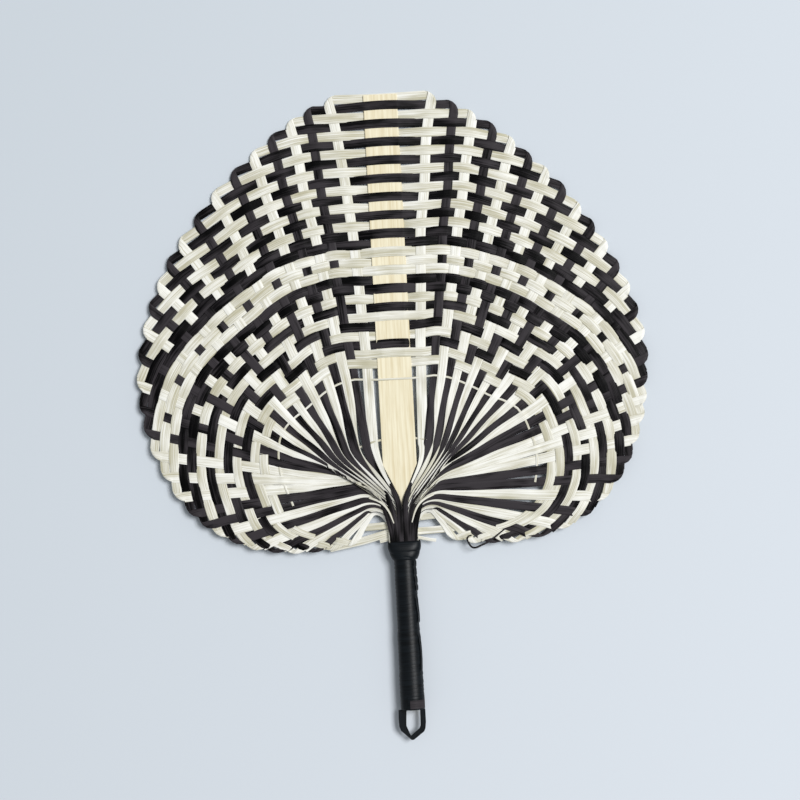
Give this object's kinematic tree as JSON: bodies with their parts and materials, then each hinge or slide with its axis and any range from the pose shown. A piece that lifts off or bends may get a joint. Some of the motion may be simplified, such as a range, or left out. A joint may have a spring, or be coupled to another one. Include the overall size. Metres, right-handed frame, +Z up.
{
  "type": "woven bamboo hand fan",
  "caption": "Heart-shaped hand fan woven from natural and black bamboo strips round a centre slat, with a wound handle and a hanging loop.",
  "frame": {"origin": "under the middle of the fan's outline, on the surface it lies on", "axes": "+Y from the handle to the top of the blade, +X to the right seen from the front, +Z up out of the woven face as the fan lies on its back"},
  "size_m": [0.3196, 0.401, 0.0135],
  "materials": {
    "bamboo_natural": "satin split bamboo with fine fibre grain",
    "bamboo_black": "satin black dyed split bamboo with a fibre sheen",
    "slat_bamboo": "planed bamboo, matt, with long grain",
    "handle_wood": "plain bamboo stick, hidden by the winding",
    "black_strip": "glossy black bamboo strip"
  },
  "bodies": {
    "fan": {"centre_slat": "slat_bamboo", "strip_01_natural": "bamboo_natural", "strip_02_black": "bamboo_black", "strip_03_natural": "bamboo_natural", "strip_04_black": "bamboo_black", "strip_05_natural": "bamboo_natural", "strip_06_black": "bamboo_black", "strip_07_natural": "bamboo_natural", "strip_08_black": "bamboo_black", "strip_09_natural": "bamboo_natural", "strip_10_black": "bamboo_black", "strip_11_natural": "bamboo_natural", "strip_12_black": "bamboo_black", "strip_13_natural": "bamboo_natural", "strip_14_black": "bamboo_black", "strip_15_natural": "bamboo_natural", "strip_16_black": "bamboo_black", "strip_17_black": "bamboo_black", "strip_18_natural": "bamboo_natural", "strip_19_natural": "bamboo_natural", "strip_20_natural": "bamboo_natural", "strip_21_black": "bamboo_black", "strip_22_black": "bamboo_black", "strip_23_natural": "bamboo_natural", "strip_24_black": "bamboo_black", "strip_25_natural": "bamboo_natural", "strip_26_black": "bamboo_black", "strip_27_natural": "bamboo_natural", "strip_28_black": "bamboo_black", "strip_29_natural": "bamboo_natural", "strip_30_natural": "bamboo_natural", "splint_outer": "bamboo_natural", "splint_inner": "bamboo_natural", "handle_core": "handle_wood", "handle_winding": "black_strip", "collar_binding": "black_strip", "end_band": "black_strip"},
    "loop": {"hanging_loop": "black_strip"}
  },
  "joints": [
    {"name": "loop_flex", "type": "hinge", "parent": "fan", "child": "loop", "pos_m": [0, -0.18147, 0.00677], "axis": [1, 0, 0], "range_deg": [-50, 50], "stiffness_Nm_per_rad": 0.01}
  ]
}
